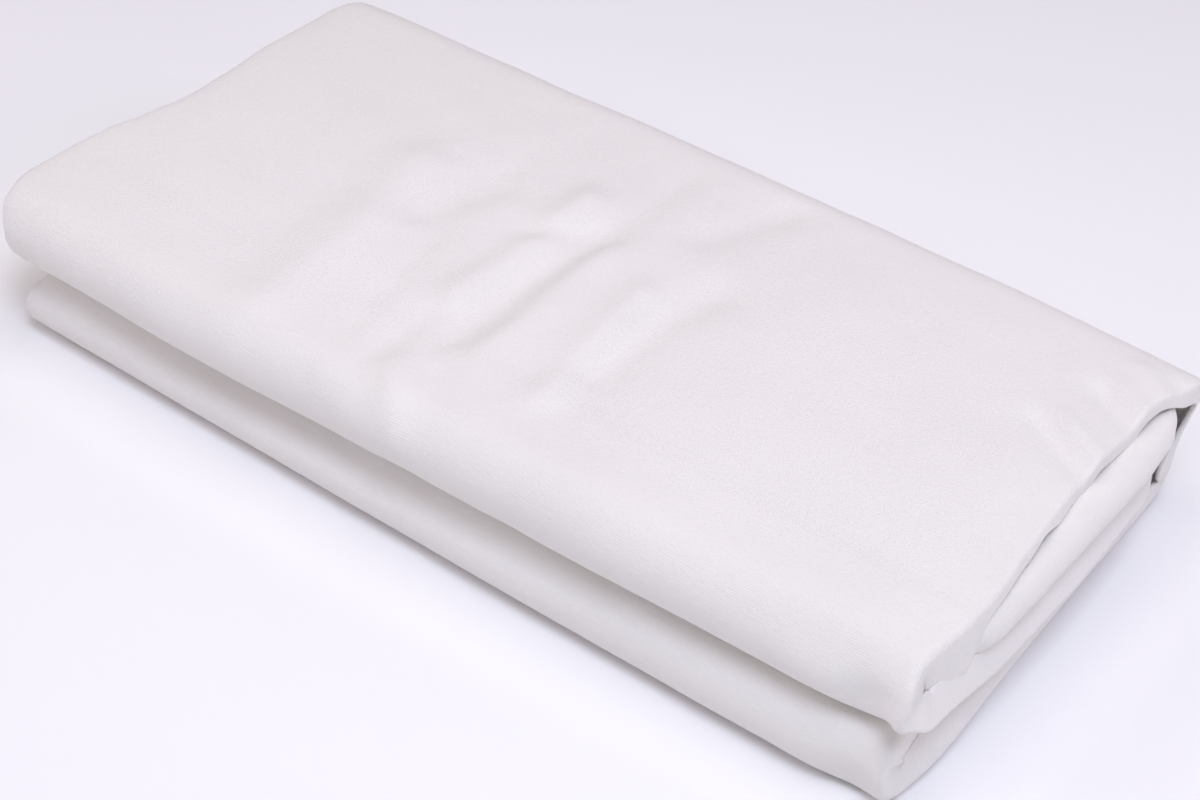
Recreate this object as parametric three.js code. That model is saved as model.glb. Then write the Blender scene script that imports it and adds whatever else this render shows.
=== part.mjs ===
// A long pillow cover, washed and folded. The cover is a flat bag, so its two cotton panels
// lie together as one ply. Along its length it goes back and forth in four plies, which make
// a pad, and the long pad is then folded over four times to a stack with a soft round front.
//
// Millimetres. X runs along the stack, Y across it with the front at negative Y, Z is up.
// The origin is the middle of the footprint, on the surface that the stack lies on.

import * as THREE from 'three';

// Driving dimensions
const ply = 2.4;            // one ply: two panels with the air that washed cotton holds
const plyGap = 0.9;         // air between two plies of a pad
const padGap = 1;           // air between two folded lengths of the pad
const clearance = 0.4;      // least air under a crease
const topLoft = 2.8;        // extra room in the upper fold, where the outer ply buckles
const crown = 1.9;          // how much lower the top is along its front and back than in between
const innerEnd = 69;        // how far back the two inner lengths of the pad reach
const lowerFront = 85.6;    // how far forward the lower fold reaches
const upperFront = 86.2;    // how far forward the upper fold reaches
const backReach = 88.6;     // how far back the outer length of the pad reaches
const backTurn = 14;        // outer radius of the two bends at the back
const foldInset = 4.5;      // how far the inner left-hand fold stays behind the outer one

// Sizes that follow
const pitch = ply + plyGap;
const pad = 4 * ply + 3 * plyGap;
const lowerTurn = pad + padGap / 2;
const upperTurn = pad + padGap / 2 + topLoft / 2;
const lowerHeight = 2 * lowerTurn;
const stackHeight = lowerHeight + padGap + 2 * upperTurn;

// The pad's way through the stack, seen from the right-hand end, as its outer face runs.
// A straight piece has a length, a bend has an angle in degrees and an outer radius. close
// is how much closer the steps of a piece lie towards its two ends.
const way = [
  { name: 'lower inner', length: innerEnd + lowerFront - lowerTurn, steps: 6, close: 0.5 },
  { name: 'lower front', bend: 180, radius: lowerTurn, steps: 8 },
  { name: 'bottom', length: lowerFront - lowerTurn + backReach - backTurn, steps: 7, close: 0.5 },
  { name: 'foot', bend: 90, radius: backTurn, steps: 3 },
  { name: 'back', length: stackHeight - 2 * backTurn, steps: 2 },
  { name: 'shoulder', bend: 90, radius: backTurn, steps: 4 },
  { name: 'top', length: backReach - backTurn + upperFront - upperTurn, steps: 13 },
  { name: 'upper front', bend: 180, radius: upperTurn, steps: 8 },
  { name: 'upper inner', length: upperFront - upperTurn + innerEnd, steps: 5, close: 0.4 },
];

// How far each edge and fold of the pad reaches along X, a row for each place on its way.
// lip is the outer ply's open edge, roll the fold between the two middle plies and hem the
// inner ply's open edge, all at the right-hand end. sag is how far the roll hangs over.
// outerFold is the fold of the outer ply at the left-hand end, and loft is the extra room
// under the outer ply.
const reach = [
  { on: 'lower inner', at: 0.00, lip: 148, roll: 146, sag: 0, hem: 128, outerFold: -150, loft: 0 },
  { on: 'lower inner', at: 0.10, lip: 156, roll: 152, sag: 0, hem: 128, outerFold: -160, loft: 0 },
  { on: 'lower inner', at: 0.50, lip: 158, roll: 153, sag: 0, hem: 126, outerFold: -163, loft: 0 },
  { on: 'lower inner', at: 0.82, lip: 161, roll: 152, sag: 0, hem: 128, outerFold: -163, loft: 0 },
  { on: 'lower inner', at: 0.94, lip: 163, roll: 150, sag: 0, hem: 128, outerFold: -160, loft: 0 },
  { on: 'lower front', at: 0.00, lip: 164, roll: 148, sag: 0, hem: 130, outerFold: -155, loft: 0 },
  { on: 'lower front', at: 0.50, lip: 166, roll: 147, sag: 0, hem: 140, outerFold: -158, loft: 0 },
  { on: 'bottom', at: 0.00, lip: 166.5, roll: 147, sag: 0, hem: 128, outerFold: -161, loft: 0 },
  { on: 'bottom', at: 0.12, lip: 168.5, roll: 146, sag: 0, hem: 122, outerFold: -164, loft: 0 },
  { on: 'bottom', at: 0.30, lip: 169, roll: 144, sag: 0, hem: 122, outerFold: -165, loft: 0 },
  { on: 'bottom', at: 0.80, lip: 165.5, roll: 144, sag: 0, hem: 122, outerFold: -166, loft: 0 },
  { on: 'foot', at: 0.50, lip: 164.5, roll: 148, sag: 0, hem: 132, outerFold: -166, loft: 0 },
  { on: 'back', at: 0.30, lip: 166, roll: 154, sag: 0, hem: 140, outerFold: -166, loft: 0 },
  { on: 'shoulder', at: 0.50, lip: 168.5, roll: 154, sag: 0, hem: 138, outerFold: -164, loft: 0.8 },
  { on: 'top', at: 0.00, lip: 168, roll: 160, sag: 2, hem: 134, outerFold: -166, loft: 1.4 },
  { on: 'top', at: 0.05, lip: 166.5, roll: 167, sag: 6, hem: 132, outerFold: -167, loft: 1.8 },
  { on: 'top', at: 0.11, lip: 165.5, roll: 171, sag: 7, hem: 128, outerFold: -166, loft: 2 },
  { on: 'top', at: 0.44, lip: 165.5, roll: 172.5, sag: 8, hem: 126, outerFold: -162, loft: 2 },
  { on: 'top', at: 0.60, lip: 167.5, roll: 172.5, sag: 8, hem: 126, outerFold: -161, loft: 2 },
  { on: 'top', at: 0.78, lip: 169.5, roll: 171.5, sag: 9, hem: 126, outerFold: -167, loft: 2 },
  { on: 'top', at: 0.85, lip: 170.5, roll: 165, sag: 8, hem: 127, outerFold: -168, loft: 2 },
  { on: 'top', at: 0.90, lip: 170, roll: 158, sag: 3, hem: 128, outerFold: -168, loft: 1.9 },
  { on: 'top', at: 0.97, lip: 168.5, roll: 153, sag: 1, hem: 130, outerFold: -168, loft: 1.6 },
  { on: 'upper front', at: 0.15, lip: 168, roll: 150, sag: 0, hem: 136, outerFold: -165, loft: 1 },
  { on: 'upper front', at: 0.60, lip: 167, roll: 149, sag: 0, hem: 145, outerFold: -160, loft: 0.4 },
  { on: 'upper inner', at: 0.04, lip: 169, roll: 149, sag: 0, hem: 130, outerFold: -161, loft: 0 },
  { on: 'upper inner', at: 0.20, lip: 172.5, roll: 148, sag: 0, hem: 124, outerFold: -164, loft: 0 },
  { on: 'upper inner', at: 0.50, lip: 173, roll: 148, sag: 0, hem: 122, outerFold: -164, loft: 0 },
  { on: 'upper inner', at: 0.90, lip: 171, roll: 148, sag: 0, hem: 122, outerFold: -162, loft: 0 },
  { on: 'upper inner', at: 1.00, lip: 160, roll: 142, sag: 0, hem: 122, outerFold: -150, loft: 0 },
];

// How the outer ply's lip turns in towards the stack and closes its ends: it curls with a
// radius through an angle in degrees, and then runs on straight for its tail.
const turnIn = [
  { on: 'lower inner', at: 0.10, radius: 2, angle: 10, tail: 1 },
  { on: 'lower inner', at: 0.50, radius: 2, angle: 20, tail: 1 },
  { on: 'lower inner', at: 0.82, radius: 3, angle: 70, tail: 4 },
  { on: 'lower inner', at: 0.94, radius: 4, angle: 90, tail: 5.5 },
  { on: 'lower front', at: 0.00, radius: 5, angle: 92, tail: 5.8 },
  { on: 'bottom', at: 0.00, radius: 5.5, angle: 92, tail: 5.4 },
  { on: 'bottom', at: 0.12, radius: 9, angle: 100, tail: 9.5 },
  { on: 'bottom', at: 0.30, radius: 9, angle: 108, tail: 10 },
  { on: 'bottom', at: 0.50, radius: 9, angle: 108, tail: 10 },
  { on: 'bottom', at: 0.80, radius: 8, angle: 100, tail: 8 },
  { on: 'foot', at: 0.50, radius: 6, angle: 90, tail: 5 },
  { on: 'back', at: 0.30, radius: 4, angle: 90, tail: 7 },
  { on: 'shoulder', at: 0.50, radius: 3, angle: 90, tail: 8 },
  { on: 'top', at: 0.00, radius: 2, angle: 85, tail: 7 },
  { on: 'top', at: 0.05, radius: 2, angle: 66, tail: 2 },
  { on: 'top', at: 0.78, radius: 2, angle: 66, tail: 2 },
  { on: 'top', at: 0.85, radius: 2, angle: 84, tail: 7 },
  { on: 'top', at: 0.90, radius: 2, angle: 90, tail: 11.5 },
  { on: 'top', at: 0.97, radius: 3, angle: 92, tail: 8.6 },
  { on: 'upper front', at: 0.15, radius: 3.5, angle: 94, tail: 8.5 },
  { on: 'upper front', at: 0.90, radius: 3, angle: 96, tail: 9 },
  { on: 'upper inner', at: 0.04, radius: 2, angle: 102, tail: 8 },
  { on: 'upper inner', at: 0.20, radius: 2, angle: 118, tail: 4.5 },
  { on: 'upper inner', at: 0.50, radius: 2, angle: 120, tail: 4.5 },
  { on: 'upper inner', at: 0.90, radius: 2, angle: 110, tail: 4 },
  { on: 'upper inner', at: 1.00, radius: 2, angle: 20, tail: 1 },
];

// How the long sides wander, a row for each place along X: how much further than its
// driving dimension each side reaches, and how much higher the top stands.
const wander = [
  { x: -170, upper: 2.4, lower: 0.2, back: 0.8, rise: -1.6 },
  { x: -140, upper: 3.2, lower: 0.5, back: 0.3, rise: -0.3 },
  { x: -80, upper: 4.5, lower: 0.7, back: -0.5, rise: 0.2 },
  { x: -20, upper: 3.2, lower: 0.8, back: 1.6, rise: -0.2 },
  { x: 20, upper: 1.4, lower: 0.7, back: 1.1, rise: 0 },
  { x: 60, upper: 0.6, lower: 0.6, back: 0.9, rise: 0.2 },
  { x: 100, upper: -0.4, lower: 0, back: 0.6, rise: 0 },
  { x: 140, upper: -1.5, lower: -0.6, back: 0, rise: -0.4 },
  { x: 172, upper: -3, lower: -1.6, back: -0.6, rise: -1.4 },
];

// Soft creases of the outer ply over the top and down the upper front, a row for each.
// Each runs from one end to the other. y is counted along the cloth, so past the front
// edge it goes on down the front. Troughs have a negative height and ridges a positive one.
const creases = [
  { fromX: -34, fromY: -80, toX: -46, toY: -8, halfWidth: 8, height: -1.5 },
  { fromX: -58, fromY: -8, toX: -40, toY: 20, halfWidth: 10, height: -1.2 },
  { fromX: -15, fromY: -66, toX: -20, toY: -42, halfWidth: 6, height: -1.3 },
  { fromX: -7, fromY: -54, toX: -3, toY: 22, halfWidth: 9, height: -1.9 },
  { fromX: -27, fromY: 6, toX: -8, toY: 20, halfWidth: 5, height: -1.4 },
  { fromX: 28, fromY: -36, toX: 40, toY: 24, halfWidth: 9, height: -1.6 },
  { fromX: 18, fromY: 38, toX: 30, toY: 66, halfWidth: 9, height: -0.9 },
  { fromX: -24, fromY: -88, toX: -30, toY: -26, halfWidth: 7, height: 1.5 },
  { fromX: 14, fromY: -84, toX: 20, toY: -16, halfWidth: 8, height: 1.3 },
  { fromX: -26, fromY: 8, toX: -22, toY: 44, halfWidth: 9, height: 1.1 },
  { fromX: -66, fromY: -60, toX: -66, toY: 12, halfWidth: 14, height: 0.9 },
  { fromX: 62, fromY: -70, toX: 70, toY: 30, halfWidth: 20, height: 0.8 },
  { fromX: 112, fromY: 32, toX: 150, toY: 20, halfWidth: 6, height: -1 },
  { fromX: 122, fromY: 56, toX: 151, toY: 46, halfWidth: 5, height: -0.9 },
  { fromX: -20, fromY: -104, toX: 10, toY: -100, halfWidth: 9, height: -1.1 },
  { fromX: 148, fromY: -96, toX: 160, toY: -72, halfWidth: 8, height: -1.2 },
];

// Where the sides' wander, the crown and the creases take hold
const wanderFrom = 20;      // distance from the middle line where the wander begins
const wanderFull = 72;      // and where it is complete
const crownMiddle = 4;      // place of the top's highest line
const crownFrom = 18;       // distance from that line where the top begins to fall
const crownFull = 84;       // and where it has fallen by the whole crown
const creaseEnd = 0.85;     // share of the outer ply that keeps its creases, from the lip

// How many steps each stretch of the section takes
const curlSteps = 4;
const outerPlySteps = 18;
const plySteps = 3;
const returnSteps = 2;
const foldSteps = 4;
const rollSteps = 6;
const crowding = 0.5;       // how much closer the outer ply's steps lie in the creased middle
const rollReturn = 28;      // length over which a hanging roll comes back to its ply

const { lerp, smoothstep } = THREE.MathUtils;

// Lays the pieces of the way end to end and gives each its start, place and heading.
function layWay() {
  let start = 0;
  let place = new THREE.Vector2(innerEnd, lowerHeight);
  let heading = Math.PI;
  for (const piece of way) {
    if (piece.bend) piece.length = piece.radius * THREE.MathUtils.degToRad(piece.bend);
    Object.assign(piece, { start, place, heading });
    ({ place, heading } = placeOn(piece, 1));
    start += piece.length;
  }
}

// The outer face's place and heading in the YZ plane, a share of the way along one piece.
function placeOn(piece, share) {
  const ahead = new THREE.Vector2(Math.cos(piece.heading), Math.sin(piece.heading));
  if (!piece.bend) {
    return {
      place: piece.place.clone().addScaledVector(ahead, share * piece.length),
      heading: piece.heading,
    };
  }
  const toCentre = new THREE.Vector2(-ahead.y, ahead.x);
  const centre = piece.place.clone().addScaledVector(toCentre, piece.radius);
  const turned = share * THREE.MathUtils.degToRad(piece.bend);
  const arm = toCentre.clone().multiplyScalar(-piece.radius);
  arm.rotateAround(new THREE.Vector2(), turned);
  return { place: centre.add(arm), heading: piece.heading + turned };
}

// One value of a table whose rows lie at rising places, eased between two rows.
function tableAt(rows, placeOf, column, where) {
  const next = rows.findIndex((row) => placeOf(row) > where);
  if (next === 0) return rows[0][column];
  if (next < 0) return rows[rows.length - 1][column];
  const before = rows[next - 1];
  const after = rows[next];
  const share = smoothstep(where, placeOf(before), placeOf(after));
  return lerp(before[column], after[column], share);
}

function runOf(row) {
  const piece = way.find((one) => one.name === row.on);
  return piece.start + row.at * piece.length;
}

function reachAt(run) {
  const found = {};
  for (const column of ['lip', 'roll', 'sag', 'hem', 'outerFold', 'loft']) {
    found[column] = tableAt(reach, runOf, column, run);
  }
  for (const column of ['radius', 'angle', 'tail']) {
    found[column] = tableAt(turnIn, runOf, column, run);
  }
  return found;
}

// The middle line of the pad's section, from the lip to the hem. Each point has its place
// along X, its depth below the pad's outer face, and how much of the creases it takes.
function sectionLine(edge) {
  const first = ply / 2;
  const second = first + pitch + edge.loft;
  const third = second + pitch;
  const fourth = third + pitch;
  const line = [];

  const curl = THREE.MathUtils.degToRad(edge.angle);
  const curlWidth = edge.radius * Math.sin(Math.min(curl, Math.PI / 2));
  const tailWidth = edge.tail * Math.max(Math.cos(curl), 0);
  const curlStart = edge.lip - ply / 2 - curlWidth - tailWidth;
  const onCurl = (angle, beyond) => ({
    x: curlStart + edge.radius * Math.sin(angle) + beyond * Math.cos(curl),
    depth: first + edge.radius * (1 - Math.cos(angle)) + beyond * Math.sin(curl),
    crease: 0,
  });
  line.push(onCurl(curl, edge.tail));
  for (let i = curlSteps; i > 0; i--) line.push(onCurl(curl * i / curlSteps, 0));

  const outerFoldRadius = (second - first) / 2;
  const outerFoldCentre = edge.outerFold + ply / 2 + outerFoldRadius;
  for (let i = 0; i < outerPlySteps; i++) {
    const even = i / outerPlySteps;
    const share = even + crowding * Math.sin(2 * Math.PI * even) / (2 * Math.PI);
    const x = lerp(curlStart, outerFoldCentre, share);
    line.push({ x, depth: first, crease: 1 - smoothstep(share, creaseEnd, 1) });
  }
  addFold(line, outerFoldCentre, first, second, -1, foldSteps);

  const rollRadius = (pitch + edge.sag) / 2;
  const rollCentre = edge.roll - ply / 2 - rollRadius;
  const back = rollCentre - rollReturn;
  for (let i = 1; i < plySteps; i++) {
    line.push({ x: lerp(outerFoldCentre, back, i / plySteps), depth: second, crease: 0 });
  }
  line.push({ x: back, depth: second, crease: 0 });
  addFold(line, rollCentre, second, second + 2 * rollRadius, 1, rollSteps);
  for (let i = 1; i < returnSteps; i++) {
    const share = i / returnSteps;
    const hang = edge.sag * (1 - smoothstep(share, 0, 1));
    line.push({ x: lerp(rollCentre, back, share), depth: third + hang, crease: 0 });
  }

  const innerFoldCentre = edge.outerFold + foldInset + ply / 2 + pitch / 2;
  for (let i = 0; i < plySteps; i++) {
    line.push({ x: lerp(back, innerFoldCentre, i / plySteps), depth: third, crease: 0 });
  }
  addFold(line, innerFoldCentre, third, fourth, -1, foldSteps);
  for (let i = 1; i <= plySteps; i++) {
    line.push({ x: lerp(innerFoldCentre, edge.hem, i / plySteps), depth: fourth, crease: 0 });
  }
  return line;
}

// A half round fold from one depth to the next, to the left or to the right of its centre.
function addFold(line, centre, fromDepth, toDepth, side, steps) {
  const radius = (toDepth - fromDepth) / 2;
  for (let i = 0; i <= steps; i++) {
    const angle = Math.PI * i / steps;
    line.push({
      x: centre + side * radius * Math.sin(angle),
      depth: fromDepth + radius * (1 - Math.cos(angle)),
      crease: 0,
    });
  }
}

// How far the creases lift the outer ply at a place on top or down the upper front. A trough
// is never deeper than the room under the ply.
function creaseHeight(x, y, room) {
  const here = new THREE.Vector3(x, y, 0);
  let height = 0;
  for (const row of creases) {
    const from = new THREE.Vector3(row.fromX, row.fromY, 0);
    const to = new THREE.Vector3(row.toX, row.toY, 0);
    const nearest = new THREE.Line3(from, to).closestPointToPoint(here, true, new THREE.Vector3());
    const away = here.distanceTo(nearest) / row.halfWidth;
    height += row.height * Math.exp(-away * away);
  }
  return height < 0 ? -room * Math.tanh(-height / room) : height;
}

// Moves a point with the long sides' wander and the crown of the top.
function settle(point, isLower) {
  const at = (column) => tableAt(wander, (row) => row.x, column, point.x);
  const forward = smoothstep(-point.y, wanderFrom, wanderFull);
  const backward = smoothstep(point.y, wanderFrom, wanderFull);
  point.y += backward * at('back') - forward * at(isLower ? 'lower' : 'upper');
  const droop = crown * smoothstep(Math.abs(point.y - crownMiddle), crownFrom, crownFull);
  const above = Math.max(point.z - lowerHeight, 0) / (stackHeight - lowerHeight);
  point.z += at('rise') * point.z / stackHeight - droop * above;
  return point;
}

const lowerPieces = ['lower inner', 'lower front', 'bottom'];
const creasedPieces = ['top', 'upper front'];

// The two faces of the sheet, as rows of points: one row for each step along the way.
function sheetFaces() {
  const topPiece = way.find((one) => one.name === 'top');
  const backEdge = placeOn(topPiece, 0).place.x;
  const faces = { outer: [], inner: [] };
  for (const piece of way) {
    const isLower = lowerPieces.includes(piece.name);
    const isCreased = creasedPieces.includes(piece.name);
    for (let step = piece === way[0] ? 0 : 1; step <= piece.steps; step++) {
      const even = step / piece.steps;
      const share = even - (piece.close ?? 0) * Math.sin(2 * Math.PI * even) / (2 * Math.PI);
      const run = piece.start + share * piece.length;
      const { place, heading } = placeOn(piece, share);
      const outward = new THREE.Vector2(Math.sin(heading), -Math.cos(heading));
      const edge = reachAt(run);
      const room = edge.loft + plyGap - clearance;
      const line = sectionLine(edge);
      for (const point of line) {
        const alongTop = backEdge - (run - topPiece.start);
        if (isCreased) point.depth -= point.crease * creaseHeight(point.x, alongTop, room);
      }
      for (const [side, rows] of [[1, faces.outer], [-1, faces.inner]]) {
        rows.push(line.map((point, i) => {
          const before = line[Math.max(i - 1, 0)];
          const after = line[Math.min(i + 1, line.length - 1)];
          const along = new THREE.Vector2(after.x - before.x, after.depth - before.depth).normalize();
          const x = point.x - side * along.y * ply / 2;
          const depth = point.depth + side * along.x * ply / 2;
          const flat = place.clone().addScaledVector(outward, -depth);
          return settle(new THREE.Vector3(x, flat.x, flat.y), isLower);
        }));
      }
    }
  }
  return faces;
}

// One closed body from the two faces: each face's cells, and a band around the four edges.
function closedSheet({ outer, inner }) {
  const rows = outer.length;
  const columns = outer[0].length;
  const indices = [];
  const at = (side, row, column) => (side * rows + row) * columns + column;
  const addCell = (a, b, c, d) => indices.push(a, b, c, a, c, d);
  for (let row = 0; row + 1 < rows; row++) {
    const next = row + 1;
    for (let column = 0; column + 1 < columns; column++) {
      const beside = column + 1;
      addCell(at(0, row, column), at(0, row, beside), at(0, next, beside), at(0, next, column));
      addCell(at(1, row, column), at(1, next, column), at(1, next, beside), at(1, row, beside));
    }
    for (const [column, side] of [[0, 0], [columns - 1, 1]]) {
      const other = 1 - side;
      addCell(at(side, row, column), at(side, next, column), at(other, next, column), at(other, row, column));
    }
  }
  for (let column = 0; column + 1 < columns; column++) {
    const beside = column + 1;
    for (const [row, side] of [[0, 1], [rows - 1, 0]]) {
      const other = 1 - side;
      addCell(at(side, row, column), at(side, row, beside), at(other, row, beside), at(other, row, column));
    }
  }
  const geometry = new THREE.BufferGeometry().setFromPoints([...outer.flat(), ...inner.flat()]);
  geometry.setIndex(indices);
  geometry.computeVertexNormals();
  return geometry;
}

layWay();

const cotton = new THREE.MeshStandardMaterial({ color: '#ece7ec', roughness: 0.85, metalness: 0 });
const cover = new THREE.Mesh(closedSheet(sheetFaces()), cotton);
cover.name = 'pillow_cover';

// The footprint's middle goes to the origin.
cover.geometry.computeBoundingBox();
const { min, max } = cover.geometry.boundingBox;
cover.position.set(-(min.x + max.x) / 2, -(min.y + max.y) / 2, -min.z);

const stack = new THREE.Group();
stack.add(cover);

export default stack;
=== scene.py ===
# A long pillow cover in fine white cotton, washed and folded into a soft stack.
# The CAD solid gives the folds. Here the same folds are laid finer, with the small creases, the
# turned lips and the weave. They are worked out in millimetres, x along the stack to its open
# end, y to its back and z up.
import math

import bpy
import numpy as np
from mathutils import Matrix, Vector, noise


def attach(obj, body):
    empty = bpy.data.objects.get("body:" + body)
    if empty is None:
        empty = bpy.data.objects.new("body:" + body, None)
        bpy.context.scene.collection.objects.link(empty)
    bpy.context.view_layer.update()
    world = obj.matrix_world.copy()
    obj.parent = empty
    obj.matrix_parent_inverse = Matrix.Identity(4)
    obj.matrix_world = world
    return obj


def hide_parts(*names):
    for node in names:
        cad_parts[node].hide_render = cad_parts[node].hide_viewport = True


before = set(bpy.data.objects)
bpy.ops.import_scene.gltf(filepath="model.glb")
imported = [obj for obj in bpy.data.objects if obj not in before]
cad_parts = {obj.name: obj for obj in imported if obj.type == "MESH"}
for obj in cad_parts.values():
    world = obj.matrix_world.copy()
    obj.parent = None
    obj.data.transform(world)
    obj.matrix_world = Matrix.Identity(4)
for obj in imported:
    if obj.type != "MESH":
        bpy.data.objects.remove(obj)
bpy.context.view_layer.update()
mm = 0.001
print("frame loaded:", sorted(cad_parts))

# Sizes in millimetres, as on the solid. The plies are thinner here, with more air between them.
cloth = {
    "ply": 1.5,             # one ply, two panels lying together
    "solidPly": 2.4,        # the same ply with its air, as on the solid
    "plyGap": 0.9,
    "padGap": 1.0,
    "topLoft": 2.8,         # extra room in the upper fold, where the outer ply buckles
    "crown": 1.9,           # fall of the top towards its front and back
    "innerEnd": 69.0,       # how far back the two inner lengths reach
    "lowerFront": 85.6,     # how far forward each bundle reaches
    "upperFront": 86.2,
    "backReach": 88.6,
    "backTurn": 14.0,       # radius of the wrap round the back's two edges
    "foldInset": 4.5,       # how far the inner left fold lies inside the outer one
    "rollReturn": 28.0,     # how far the ply runs back inside the roll
    "shiftX": -2.5,         # the footprint's middle lies on the origin
    "uneven": 0.55,         # how far the washed cloth swells and sinks, over its unevenLength
    "unevenLength": 42.0,
    "unevenFalloff": 0.9,   # how fast the finer swells die away
    "unevenFiner": 2.2,     # how much finer each is than the one before
    "unevenOctaves": 4,     # how many of them there are
    "restingEase": 12.0,    # the swells fade out towards the table over this height
    "creaseClearance": 0.4,  # air between the deepest trough and the ply under it
    "creaseFade": 0.88,     # the creases fade out from this share of the way to the left fold
    "cutEdge": 0.6,         # a row of points this far inside the cut edge keeps it crisp
    "flat": (0.70, 1.40),   # metres, the cover before it was folded
}

pitch = cloth["solidPly"] + cloth["plyGap"]
pad = 4 * cloth["solidPly"] + 3 * cloth["plyGap"]
lowerTurn = pad + cloth["padGap"] / 2
upperTurn = lowerTurn + cloth["topLoft"] / 2
lowerHeight = 2 * lowerTurn
stackHeight = lowerHeight + cloth["padGap"] + 2 * upperTurn
lowerFlat = cloth["lowerFront"] - lowerTurn
upperFlat = cloth["upperFront"] - upperTurn
backFlat = cloth["backReach"] - cloth["backTurn"]

# The pad's way round the stack, seen from the open end: name, length or bend and radius, its rows
# of points, and how much closer they lie at both ends of the piece
way = [
    {"name": "lower inner", "length": cloth["innerEnd"] + lowerFlat, "steps": 7, "close": 0.5},
    {"name": "lower front", "bend": 180, "radius": lowerTurn, "steps": 11},
    {"name": "bottom", "length": lowerFlat + backFlat, "steps": 9, "close": 0.5},
    {"name": "foot", "bend": 90, "radius": cloth["backTurn"], "steps": 4},
    {"name": "back", "length": stackHeight - 2 * cloth["backTurn"], "steps": 3},
    {"name": "shoulder", "bend": 90, "radius": cloth["backTurn"], "steps": 5},
    {"name": "top", "length": backFlat + upperFlat, "steps": 42},
    {"name": "upper front", "bend": 180, "radius": upperTurn, "steps": 16},
    {"name": "upper inner", "length": upperFlat + cloth["innerEnd"], "steps": 11, "close": 0.4},
]

# How far each edge and fold reaches along x, a row for each place on the way: the piece, the
# share of it that lies behind, and the columns. The lip curls in with a radius and an angle in
# degrees, and then runs straight on for its tail.
reachColumns = ("lip", "curlRadius", "curlAngle", "tail", "roll", "sag", "hem", "leftFold", "loft")
reach = [
    ("lower inner", 0.00, 148, 2, 10, 1, 146, 0, 128, -150, 0),
    ("lower inner", 0.10, 156, 2, 10, 1, 154, 0, 128, -160, 0),
    ("lower inner", 0.50, 158, 2, 20, 1, 155, 0, 126, -163, 0),
    ("lower inner", 0.82, 161, 3, 70, 4, 153, 0, 128, -163, 0),
    ("lower inner", 0.94, 164, 4, 90, 8, 150, 0, 128, -160, 0),
    ("lower front", 0.00, 164, 6, 92, 5.8, 148, 0, 130, -155, 0),
    ("lower front", 0.35, 165.5, 3, 94, 9, 147, 0, 140, -158, 0),
    ("lower front", 0.65, 165, 1.8, 94, 10.2, 147, 0, 140, -159, 0),
    ("bottom", 0.00, 166.5, 4, 104, 9, 147, 0, 128, -161, 0),
    ("bottom", 0.06, 168.5, 6, 114, 9.5, 146, 0, 124, -163, 0),
    ("bottom", 0.12, 169.5, 9, 120, 7, 146, 0, 122, -164, 0),
    ("bottom", 0.30, 169, 12, 122, 3, 144, 0, 122, -165, 0),
    ("bottom", 0.50, 167.5, 12, 122, 3, 144, 0, 122, -165, 0),
    ("bottom", 0.80, 165.5, 8, 100, 9, 144, 0, 122, -166, 0),
    ("foot", 0.50, 164, 6, 90, 5, 150, 0, 132, -166, 0),
    ("back", 0.30, 165, 3, 84, 14, 156, 0, 140, -166, 0),
    ("back", 0.55, 165.5, 3, 84, 7, 156, 0, 140, -166, 0.2),
    ("back", 0.80, 166.5, 2, 84, 4, 157, 0, 140, -165, 0.4),
    ("shoulder", 0.50, 168.5, 1.5, 88, 6, 156, 0, 138, -164, 0.8),
    ("top", 0.00, 168, 1.2, 85, 6, 162, 2, 134, -166, 1.4),
    ("top", 0.05, 166.5, 1, 75, 3.5, 168, 6, 132, -167, 1.8),
    ("top", 0.11, 164, 0.8, 84, 3.6, 171, 7, 128, -166, 2),
    ("top", 0.25, 164, 0.8, 86, 3.8, 172.5, 8, 126, -165, 2),
    ("top", 0.44, 164, 0.8, 86, 3.8, 172.5, 8, 126, -162, 2),
    ("top", 0.52, 165.5, 0.8, 76, 4, 172.5, 8, 126, -161, 2),
    ("top", 0.58, 166, 0.9, 64, 1.5, 172.5, 8, 126, -161, 2),
    ("top", 0.66, 167, 0.9, 80, 3, 172.5, 8.5, 126, -163, 2),
    ("top", 0.78, 168.5, 0.9, 84, 4, 172, 9, 126, -167, 2),
    ("top", 0.84, 169, 1, 84, 5, 171, 9, 127, -168, 2),
    ("top", 0.88, 169, 1.4, 88, 18.5, 165.5, 8.5, 128, -168, 1.9),
    ("top", 0.92, 168, 1.5, 90, 19.5, 165, 7, 128, -168, 1.8),
    ("top", 0.97, 167, 1.6, 92, 15, 163, 4, 130, -168, 1.6),
    ("upper front", 0.15, 166, 1.7, 94, 11.6, 163, 1, 136, -165, 1),
    ("upper front", 0.50, 166.5, 1.5, 94, 11.9, 163, 0, 145, -160, 0.4),
    ("upper front", 0.75, 167.5, 1.4, 96, 12, 163, 0, 142, -160, 0),
    ("upper front", 0.93, 170, 1.2, 102, 11.5, 164, 0, 138, -160, 0),
    ("upper inner", 0.04, 170, 1.2, 108, 12.5, 165, 1, 130, -161, 0),
    ("upper inner", 0.12, 171, 1.2, 110, 11, 165, 3, 127, -163, 0),
    ("upper inner", 0.20, 172.5, 1.2, 116, 7.5, 164, 2, 124, -164, 0),
    ("upper inner", 0.50, 173, 1.2, 122, 6.6, 158, 0, 122, -164, 0),
    ("upper inner", 0.90, 171, 1.6, 110, 5, 156, 0, 122, -162, 0),
    ("upper inner", 1.00, 160, 2, 20, 1, 142, 0, 122, -150, 0),
]

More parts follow.
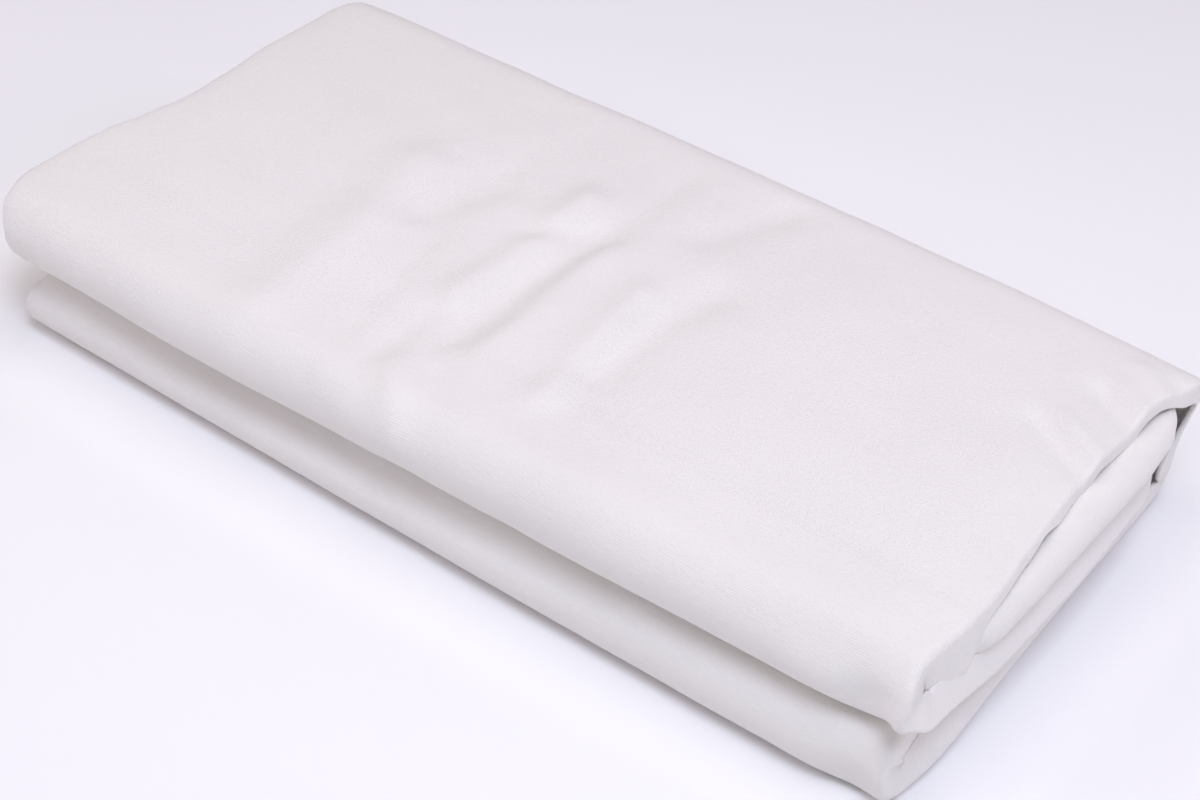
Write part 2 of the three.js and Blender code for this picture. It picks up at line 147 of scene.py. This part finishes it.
# How the long sides wander: x, then how much further the upper front, the lower front and the
# back reach, and how the top rises
wanderColumns = ("upper", "lower", "back", "rise")
wander = [
    (-170, 2.4, 0.2, 0.8, -1.6),
    (-140, 3.2, 0.5, 0.3, -0.3),
    (-80, 4.5, 0.7, -0.5, 0.2),
    (-20, 3.2, 0.8, 1.6, -0.2),
    (20, 1.4, 0.7, 1.1, 0.0),
    (60, 0.6, 0.6, 0.9, 0.2),
    (100, -0.4, 0.0, 0.6, 0.0),
    (140, -1.5, -0.6, 0.0, -0.4),
    (172, -3.0, -1.6, -0.6, -1.4),
]
settling = {
    "from": 20.0,           # the wander grows between these distances from the middle
    "full": 72.0,
    "crownMiddle": 4.0,     # and the top falls away between these, counted from its crown
    "crownFrom": 18.0,
    "crownFull": 84.0,
}

# Creases of the outer ply over the top and down the front, y counted along the cloth: the places
# each runs through, its half width to the left and to the right, how pinched it is (2 is soft)
# and its height
creases = [
    ("long hollow", ((-6, 14), (-8, -4), (-8, -20), (-7, -36), (-7, -47)), 7.5, 4, 1.55, -3.8),
    ("long hollow's edge", ((1, 12), (2, -10), (4, -34), (3, -47)), 3.5, 7, 1.35, 2.1),
    ("long hollow's fine end", ((-4, 62), (-3, 40), (-3, 18)), 3.5, 2.2, 1.15, -1.2),
    ("short pinch", ((-23, 4), (-17, 11), (-8, 18)), 3, 3.2, 1.25, -3.2),
    ("left hollow", ((-48, 18), (-51, 6), (-54, -8)), 11, 6, 1.85, -2.8),
    ("left fine line", ((-44, -10), (-39, -38), (-33, -68)), 3.5, 2, 1.1, -1.4),
    ("small streak", ((-21, -42), (-20, -54), (-17, -64)), 4.5, 3, 1.45, -2.2),
    ("small line", ((-2, -64), (8, -72)), 2.6, 2.6, 1.15, -1.2),
    ("right hollow", ((38, 14), (34, -4), (34, -24), (33, -38)), 7, 6.5, 1.55, -3.2),
    ("back hollow", ((30, 66), (25, 53), (19, 38)), 7, 6, 1.65, -2),
    ("middle swell", ((-20, 30), (-17, -10), (-20, -36)), 6, 4.5, 1.85, 2.8),
    ("right swell", ((24, 0), (27, -27), (31, -54)), 6, 3.5, 1.55, 3),
    ("front wedge", ((-14, -64), (-4, -78), (3, -90)), 5, 4, 1.6, 2.3),
    ("left swell", ((-70, 10), (-64, -22), (-60, -66)), 13, 8, 1.85, 2.8),
    ("broad swell", ((62, -70), (70, 30)), 20, 20, 2, 0.8),
    ("front hollow", ((-32, -94), (-14, -100), (0, -106)), 12, 6, 1.8, -2.2),
    ("lip notch", ((143, 27), (154, 20), (168, 13)), 3.5, 4.5, 1.2, -3.6),
    ("lip notch's edge", ((148, 32), (157, 27), (167, 22)), 4.5, 3, 1.3, 2.6),
    ("lip fold", ((149, 52), (158, 46), (168, 41)), 3.5, 4, 1.2, -3.2),
    ("lip fold's edge", ((152, 59), (160, 54), (167, 50)), 3.5, 3, 1.3, 2.2),
    ("back corner's fold", ((148, 76), (156, 68), (166, 61)), 3.5, 5, 1.3, 2.2),
    ("back corner's hollow", ((158, 80), (165, 70)), 3, 4, 1.4, -1.6),
    ("corner hollow", ((148, -106), (156, -97), (163, -90)), 6, 3, 1.4, -2.4),
    ("corner ear", ((158, -86), (163, -94), (166, -102)), 3, 2.6, 1.3, 2.0),
]

# Places where the whole stack is pressed in or pulled out: the middle, its reach and the push
dents = [
    ("upper corner's shoulder", (146, -88, 56), (30, 12, 14), (0, 4.0, -4.4)),
    ("upper corner's facet", (157, -87, 38), (8, 7, 10), (-1.0, 5.5, -1.0)),
    ("upper corner's ridge", (165, -80, 41), (3.5, 5, 9), (1.5, -2.0, 0.5)),
    ("upper corner's tip", (165, -82, 28), (10, 10, 6), (1.5, -1.0, 4.8)),
    ("lower corner's fall", (162, -80, 19), (9, 10, 4), (0, 1.0, -2.4)),
    ("lower corner's dimple", (165, -79, 13), (3.5, 4, 5), (-2.2, 2.0, 0)),
    ("lower corner's facet", (156, -85, 9), (8, 6, 7), (0, 4.5, 0)),
    ("lower bundle's fallen shoulder", (-50, -86, 22.5), (125, 9, 5.5), (0, 5.0, -4.4)),
    ("left end's facet", (-160, -78, 24), (10, 10, 9), (1.5, 1.0, -1.5)),
]

# Steps along the section, apart from the outer ply's
sectionSteps = {"tail": 2, "curl": 5, "leftFold": 6, "ply": 4, "roll": 9, "return": 3, "innerFold": 4}

# The outer ply's steps, closer at the lip and in the creased middle: the share of the way from
# the lip to the left fold where each band ends, and its steps
outerBands = ((0.12, 12), (0.3, 6), (0.8, 44), (1.0, 4))


def smooth(value, low, high):
    # rises from 0 at low to 1 at high, level at both
    share = np.clip((np.asarray(value, float) - low) / (high - low), 0, 1)
    return share * share * (3 - 2 * share)


def eased(places, values, where):
    # a table's column at some places, eased between two rows
    places = np.asarray(places, float)
    values = np.asarray(values, float)
    where = np.clip(where, places[0], places[-1])
    after = np.clip(np.searchsorted(places, where, side="right"), 1, len(places) - 1)
    share = smooth((where - places[after - 1]) / (places[after] - places[after - 1]), 0, 1)
    return values[after - 1] + share * (values[after] - values[after - 1])


def layWay():
    # lays the pieces of the way end to end
    start = 0.0
    place = np.array((cloth["innerEnd"], lowerHeight))
    heading = math.pi
    for piece in way:
        if "bend" in piece:
            piece["length"] = piece["radius"] * math.radians(piece["bend"])
        piece["start"] = start
        piece["place"] = place
        piece["heading"] = heading
        place, heading = placeOn(piece, 1.0)
        start += piece["length"]


def placeOn(piece, share):
    # the outer face's place and heading in the YZ plane
    ahead = np.array((math.cos(piece["heading"]), math.sin(piece["heading"])))
    if "bend" not in piece:
        return piece["place"] + ahead * share * piece["length"], piece["heading"]
    left = np.array((-ahead[1], ahead[0]))
    centre = piece["place"] + left * piece["radius"]
    turned = share * math.radians(piece["bend"])
    cosTurned = math.cos(turned)
    sinTurned = math.sin(turned)
    arm = -left * piece["radius"]
    swung = np.array((arm[0] * cosTurned - arm[1] * sinTurned, arm[0] * sinTurned + arm[1] * cosTurned))
    return centre + swung, piece["heading"] + turned


def wayPiece(name):
    return next(piece for piece in way if piece["name"] == name)


def reachAt(run):
    # the reach table's columns at one place on the way
    starts = [wayPiece(row[0])["start"] + row[1] * wayPiece(row[0])["length"] for row in reach]
    found = {}
    for index, column in enumerate(reachColumns):
        found[column] = float(eased(starts, [row[2 + index] for row in reach], run))
    return found


def halfRound(centre, fromDepth, toDepth, side, steps):
    # a ply's fold, out to the right where side is 1 and to the left where it is -1
    angle = np.linspace(0, math.pi, steps + 1)
    radius = (toDepth - fromDepth) / 2
    return centre + side * radius * np.sin(angle), fromDepth + radius * (1 - np.cos(angle))


def sectionLine(edge):
    # the middle line of the pad's section from the lip to the hem: x, depth, share of the creases
    half = cloth["ply"] / 2
    solidHalf = cloth["solidPly"] / 2
    second = solidHalf + pitch + edge["loft"]
    third = second + pitch
    fourth = third + pitch

    # the tail and the curl of the lip, from the cut edge inwards
    radius = edge["curlRadius"]
    curl = math.radians(edge["curlAngle"])
    widest = min(curl, math.pi / 2)
    tailOut = edge["tail"] * max(math.cos(curl), 0)
    curlStart = edge["lip"] - half - radius * math.sin(widest) - tailOut
    tail = np.linspace(edge["tail"] - cloth["cutEdge"], 0, sectionSteps["tail"] + 1)[:-1]
    tail = np.concatenate(((edge["tail"],), tail))
    tailX = curlStart + radius * math.sin(curl) + tail * math.cos(curl)
    tailDepth = half + radius * (1 - math.cos(curl)) + tail * math.sin(curl)
    angle = np.linspace(curl, 0, sectionSteps["curl"] + 1)[:-1]
    curlX = np.concatenate((tailX, curlStart + radius * np.sin(angle)))
    curlDepth = np.concatenate((tailDepth, half + radius * (1 - np.cos(angle))))

    leftRadius = (second - half) / 2
    leftCentre = edge["leftFold"] + half + leftRadius
    bandStarts = np.cumsum([0] + [steps for end, steps in outerBands])
    share = np.interp(np.arange(bandStarts[-1]), bandStarts, [0] + [end for end, steps in outerBands])
    outerX = curlStart + share * (leftCentre - curlStart)
    outerDepth = np.full(len(outerX), half)
    crease = 1 - smooth(share, cloth["creaseFade"], 1)

    leftX, leftDepth = halfRound(leftCentre, half, second, -1, sectionSteps["leftFold"])

    rollRadius = (pitch + edge["sag"]) / 2
    rollCentre = edge["roll"] - half - rollRadius
    back = rollCentre - cloth["rollReturn"]
    secondX = np.linspace(leftCentre, back, sectionSteps["ply"] + 1)[1:]
    secondDepth = np.full(len(secondX), second)
    rollX, rollDepth = halfRound(rollCentre, second, second + 2 * rollRadius, 1, sectionSteps["roll"])
    returnShare = np.linspace(0, 1, sectionSteps["return"] + 1)[1:]
    returnX = rollCentre + returnShare * (back - rollCentre)
    returnDepth = third + edge["sag"] * (1 - smooth(returnShare, 0, 1))

    innerCentre = edge["leftFold"] + cloth["foldInset"] + solidHalf + pitch / 2
    thirdX = np.linspace(back, innerCentre, sectionSteps["ply"] + 1)[1:-1]
    thirdDepth = np.full(len(thirdX), third)
    innerX, innerDepth = halfRound(innerCentre, third, fourth, -1, sectionSteps["innerFold"])
    hemX = np.linspace(innerCentre, edge["hem"], sectionSteps["ply"] + 1)[1:]
    hemDepth = np.full(len(hemX), fourth)

    x = np.concatenate((curlX, outerX, leftX, secondX, rollX, returnX, thirdX, innerX, hemX))
    depth = np.concatenate((
        curlDepth, outerDepth, leftDepth, secondDepth, rollDepth,
        returnDepth, thirdDepth, innerDepth, hemDepth,
    ))
    takes = np.zeros(len(x))
    takes[: len(curlX)] = 1
    takes[len(curlX) : len(curlX) + len(outerX)] = crease
    return x, depth, takes


def creaseHeight(x, along, room):
    # how high the creases stand along one row, no deeper than the room under the outer ply
    height = np.zeros(len(x))
    for name, places, leftWidth, rightWidth, pinch, rise in creases:
        nearest = np.full(len(x), np.inf)
        aside = np.zeros(len(x))
        for start, end in zip(places, places[1:]):
            leg = np.subtract(end, start)
            share = ((x - start[0]) * leg[0] + (along - start[1]) * leg[1]) / (leg @ leg)
            share = np.clip(share, 0, 1)
            awayX = x - start[0] - share * leg[0]
            awayY = along - start[1] - share * leg[1]
            away = np.hypot(awayX, awayY)
            aside = np.where(away < nearest, awayX, aside)
            nearest = np.minimum(away, nearest)
        width = np.where(aside < 0, leftWidth, rightWidth)
        height += rise * np.exp(-(nearest / width) ** pinch)
    return np.where(height < 0, -room * np.tanh(-height / room), height)


def unevenness(x, run):
    # broad, soft swells with smaller ones on them
    size = cloth["unevenLength"]
    kind = cloth["unevenFalloff"], cloth["unevenFiner"], cloth["unevenOctaves"]
    return cloth["uneven"] * np.array([noise.fractal((one / size, run / size, 0.0), *kind) for one in x])


def settle(x, y, z, isLower):
    # the wander of the long sides, the crown of the top and the dents
    places = [row[0] for row in wander]
    side = {}
    for index, column in enumerate(wanderColumns):
        side[column] = eased(places, [row[1 + index] for row in wander], x)
    forward = smooth(-y, settling["from"], settling["full"])
    backward = smooth(y, settling["from"], settling["full"])
    y = y + backward * side["back"] - forward * side["lower" if isLower else "upper"]
    offCrown = np.abs(y - settling["crownMiddle"])
    droop = cloth["crown"] * smooth(offCrown, settling["crownFrom"], settling["crownFull"])
    above = np.maximum(z - lowerHeight, 0) / (stackHeight - lowerHeight)
    z = z + side["rise"] * z / stackHeight - droop * above
    for name, middle, extent, push in dents:
        away = sum(((value - at) / wide) ** 2 for value, at, wide in zip((x, y, z), middle, extent))
        share = np.exp(-away)
        x, y, z = x + push[0] * share, y + push[1] * share, z + push[2] * share
    return x, y, z


def foldedPoints():
    # the sheet's middle as rows of points, and the cloth's own measure at each, in millimetres
    topPiece = wayPiece("top")
    backEdge = placeOn(topPiece, 0.0)[0][0]
    rows = []
    measures = []
    for piece in way:
        isLower = piece["name"] in ("lower inner", "lower front", "bottom")
        isCreased = piece["name"] in ("top", "upper front")
        for step in range(0 if piece is way[0] else 1, piece["steps"] + 1):
            share = step / piece["steps"]
            share -= piece.get("close", 0) * math.sin(2 * math.pi * share) / (2 * math.pi)
            run = piece["start"] + share * piece["length"]
            place, heading = placeOn(piece, share)
            edge = reachAt(run)
            x, depth, takes = sectionLine(edge)
            along = np.concatenate(((0,), np.cumsum(np.hypot(np.diff(x), np.diff(depth)))))
            # the face that lies on the table stays flat
            raised = float(smooth(place[1], 0, cloth["restingEase"]))
            depth = depth - takes * raised * unevenness(x, run)
            if isCreased:
                room = edge["loft"] + cloth["plyGap"] - cloth["creaseClearance"]
                depth = depth - takes * creaseHeight(x, backEdge - (run - topPiece["start"]), room)
            y = place[0] - math.sin(heading) * depth
            z = place[1] + math.cos(heading) * depth
            rows.append(np.stack(settle(x, y, z, isLower), axis=1))
            measures.append(np.stack((along, np.full(len(x), run)), axis=1))
    return np.array(rows), np.array(measures)


def deselectAll():
    bpy.ops.object.select_all(action="DESELECT")


def applyModifier(piece, kind, name, **settings):
    modifier = piece.modifiers.new(name, kind)
    for key, value in settings.items():
        setattr(modifier, key, value)
    deselectAll()
    piece.select_set(True)
    bpy.context.view_layer.objects.active = piece
    bpy.ops.object.modifier_apply(modifier=name)


def foldCover():
    layWay()
    points, measures = foldedPoints()
    rows, columns = points.shape[:2]
    gridSize = 2.0
    deselectAll()
    bpy.ops.mesh.primitive_grid_add(x_subdivisions=columns - 1, y_subdivisions=rows - 1, size=gridSize)
    cover = bpy.context.object
    cover.name = "folded_pillow_cover"
    mesh = cover.data
    # the grid's own places say which row and column each point is
    flat = np.zeros(len(mesh.vertices) * 3)
    mesh.vertices.foreach_get("co", flat)
    flat = flat.reshape(-1, 3)
    column = np.rint((flat[:, 0] + gridSize / 2) / gridSize * (columns - 1)).astype(int)
    row = np.rint((flat[:, 1] + gridSize / 2) / gridSize * (rows - 1)).astype(int)
    placed = (points[row, column] + (cloth["shiftX"], 0, 0)) * mm
    mesh.vertices.foreach_set("co", placed.ravel())
    layer = mesh.uv_layers.active or mesh.uv_layers.new(name="UVMap")
    layer.name = "clothMeasure"
    corner = np.zeros(len(mesh.loops), int)
    mesh.loops.foreach_get("vertex_index", corner)
    layer.data.foreach_set("uv", (measures[row[corner], column[corner]] * mm).ravel())
    mesh.update()
    print("cloth laid:", rows, "by", columns)
    return cover


cover = foldCover()
applyModifier(cover, "SOLIDIFY", "ply", thickness=cloth["ply"] * mm, offset=0, use_even_offset=False)
applyModifier(cover, "SUBSURF", "soft", levels=1, render_levels=1)
deselectAll()
cover.select_set(True)
bpy.context.view_layer.objects.active = cover
bpy.ops.object.shade_smooth()
print("cover:", len(cover.data.polygons) * 2, "triangles")


def fromHex(text):
    # an sRGB hex colour as the linear values that Blender takes
    values = [int(text[i : i + 2], 16) / 255 for i in (1, 3, 5)]
    return tuple(v / 12.92 if v <= 0.04045 else ((v + 0.055) / 1.055) ** 2.4 for v in values) + (1.0,)


def addNode(tree, kind, settings=None, inputs=None):
    # a node with its settings, and each input given a value or linked to a socket
    node = tree.nodes.new(kind)
    for key, value in (settings or {}).items():
        setattr(node, key, value)
    for key, value in (inputs or {}).items():
        socket = node.inputs[key]
        if isinstance(value, bpy.types.NodeSocket):
            tree.links.new(value, socket)
        else:
            socket.default_value = value
    return node


# Fine cotton sateen, washed: a matt near-white with a soft bloom along its curves
cotton = {
    "colour": "#f1eeea",
    "roughness": 0.9,
    "sheen": 0.25,
    "sheenRoughness": 0.5,
    "threadMm": 0.75,       # real threads lie about 0.25 mm apart, drawn coarser so that they show
    "threadBump": 0.35,
    "threadDepth": 0.15,    # in millimetres
    "threadWaver": 1.0,     # how far the ribs stray from straight
    "slubMm": 1.1,          # thicker places along the yarn
    "slubBump": 0.6,
    "slubDepth": 0.4,
    "patchMm": 38.0,        # broad places that took the light a little differently
    "patchBand": (0.3, 0.7),  # noise values that give their darkest and lightest shade
    "patchShade": 0.025,    # how much darker the darkest of them are
}
waveRadians = 20            # how far a wave texture turns over one unit, at scale 1


def cottonSateen():
    material = bpy.data.materials.new("cotton_sateen")
    material.use_nodes = True
    tree = material.node_tree
    tree.nodes.clear()
    measure = addNode(tree, "ShaderNodeUVMap", {"uv_map": "clothMeasure"}).outputs["UV"]
    # the yarn of the face runs along the cover, so its ribs are bands across the other way
    ribs = addNode(tree, "ShaderNodeTexWave", {"wave_type": "BANDS", "bands_direction": "Y"}, {
        "Vector": measure,
        "Scale": 2 * math.pi / (waveRadians * cotton["threadMm"] * mm),
        "Distortion": cotton["threadWaver"],
        "Detail": 2.0,
        "Detail Scale": 1.6,
    })
    slubs = addNode(tree, "ShaderNodeTexNoise", None, {
        "Vector": measure,
        "Scale": 1 / (cotton["slubMm"] * mm),
        "Detail": 3.0,
        "Roughness": 0.6,
    })
    ribBump = addNode(tree, "ShaderNodeBump", None, {
        "Height": ribs.outputs["Fac"],
        "Strength": cotton["threadBump"],
        "Distance": cotton["threadDepth"] * mm,
    })
    bump = addNode(tree, "ShaderNodeBump", None, {
        "Height": slubs.outputs["Fac"],
        "Strength": cotton["slubBump"],
        "Distance": cotton["slubDepth"] * mm,
        "Normal": ribBump.outputs["Normal"],
    })
    patches = addNode(tree, "ShaderNodeTexNoise", None, {
        "Vector": measure,
        "Scale": 1 / (cotton["patchMm"] * mm),
        "Detail": 4.0,
    })
    shade = addNode(tree, "ShaderNodeMapRange", None, {
        "Value": patches.outputs["Fac"],
        "From Min": cotton["patchBand"][0],
        "From Max": cotton["patchBand"][1],
        "To Min": 1 - cotton["patchShade"],
        "To Max": 1.0,
    })
    colour = addNode(tree, "ShaderNodeVectorMath", {"operation": "SCALE"}, {
        0: fromHex(cotton["colour"])[:3],
        "Scale": shade.outputs["Result"],
    })
    shader = addNode(tree, "ShaderNodeBsdfPrincipled", None, {
        "Base Color": colour.outputs["Vector"],
        "Roughness": cotton["roughness"],
        "Sheen Weight": cotton["sheen"],
        "Sheen Roughness": cotton["sheenRoughness"],
        "Normal": bump.outputs["Normal"],
    })
    addNode(tree, "ShaderNodeOutputMaterial", None, {"Surface": shader.outputs["BSDF"]})
    return material


cover.data.materials.clear()
cover.data.materials.append(cottonSateen())
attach(cover, "root")
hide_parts("pillow_cover")
print("cotton finish on")

# A seamless pale floor and soft light, in metres and watts
studio = {
    "floorColour": "#fafafa",
    "floorRoughness": 0.9,
    "floorSize": 6.0,
    "worldColour": "#ffffff",
    "worldStrength": 0.1,
    "softboxes": [
        {"name": "overhead", "power": 6.9, "size": 1.0, "place": (0, 0, 1.4), "colour": "#fff5f4"},
        {"name": "front right", "power": 8.9, "size": 0.5, "place": (0.5, -0.5, 1.3), "colour": "#e0eaff"},
        {"name": "front left", "power": 6.4, "size": 0.8, "place": (-0.9, -0.9, 1.0), "colour": "#fff0f9"},
        {"name": "right", "power": 1.3, "size": 0.6, "place": (1.3, -0.25, 0.45), "colour": "#fff8f8"},
        {"name": "back right", "power": 6.4, "size": 0.8, "place": (1.2, 0.9, 0.9), "colour": "#f7e8ff"},
    ],
}


def layFloor():
    deselectAll()
    bpy.ops.mesh.primitive_plane_add(size=studio["floorSize"])
    floor = bpy.context.object
    floor.name = "floor"
    material = bpy.data.materials.new("pale_floor")
    material.use_nodes = True
    shader = material.node_tree.nodes["Principled BSDF"]
    shader.inputs["Base Color"].default_value = fromHex(studio["floorColour"])
    shader.inputs["Roughness"].default_value = studio["floorRoughness"]
    floor.data.materials.append(material)


def addSoftbox(box):
    lamp = bpy.data.lights.new(box["name"], "AREA")
    lamp.energy = box["power"]
    lamp.shape = "DISK"
    lamp.size = box["size"]
    lamp.color = fromHex(box["colour"])[:3]
    holder = bpy.data.objects.new(box["name"], lamp)
    holder.location = box["place"]
    holder.rotation_euler = (-Vector(box["place"])).to_track_quat("-Z", "Y").to_euler()
    bpy.context.scene.collection.objects.link(holder)


def lightStudio():
    world = bpy.data.worlds.new("studio")
    bpy.context.scene.world = world
    world.use_nodes = True
    background = world.node_tree.nodes["Background"]
    background.inputs["Color"].default_value = fromHex(studio["worldColour"])
    background.inputs["Strength"].default_value = studio["worldStrength"]
    for box in studio["softboxes"]:
        addSoftbox(box)
    bpy.context.scene.view_settings.view_transform = "Standard"


# The camera stands where the photograph's did, found from the stack's outline: degrees, metres,
# and the lens and its sensor in millimetres
shot = {
    "azimuth": 35.35,
    "elevation": 38.75,
    "roll": 3.5,
    "distance": 0.7268,
    "aim": (0.0029, 0.0062, 0.0024),
    "lens": 69.0,
    "sensor": 36.0,
    "clipStart": 0.01,
}


def setCamera():
    lens = bpy.data.cameras.new("shot")
    lens.lens = shot["lens"]
    lens.sensor_width = shot["sensor"]
    lens.clip_start = shot["clipStart"]
    camera = bpy.data.objects.new("shot", lens)
    bpy.context.scene.collection.objects.link(camera)
    around = Matrix.Rotation(math.radians(shot["azimuth"]), 3, "Z")
    tilt = Matrix.Rotation(math.radians(90 - shot["elevation"]), 3, "X")
    roll = Matrix.Rotation(math.radians(shot["roll"]), 3, "Z")
    turned = around @ tilt @ roll
    camera.rotation_euler = turned.to_euler()
    camera.location = Vector(shot["aim"]) + turned @ Vector((0, 0, shot["distance"]))
    bpy.context.scene.camera = camera


layFloor()
lightStudio()
setCamera()
print("studio ready")
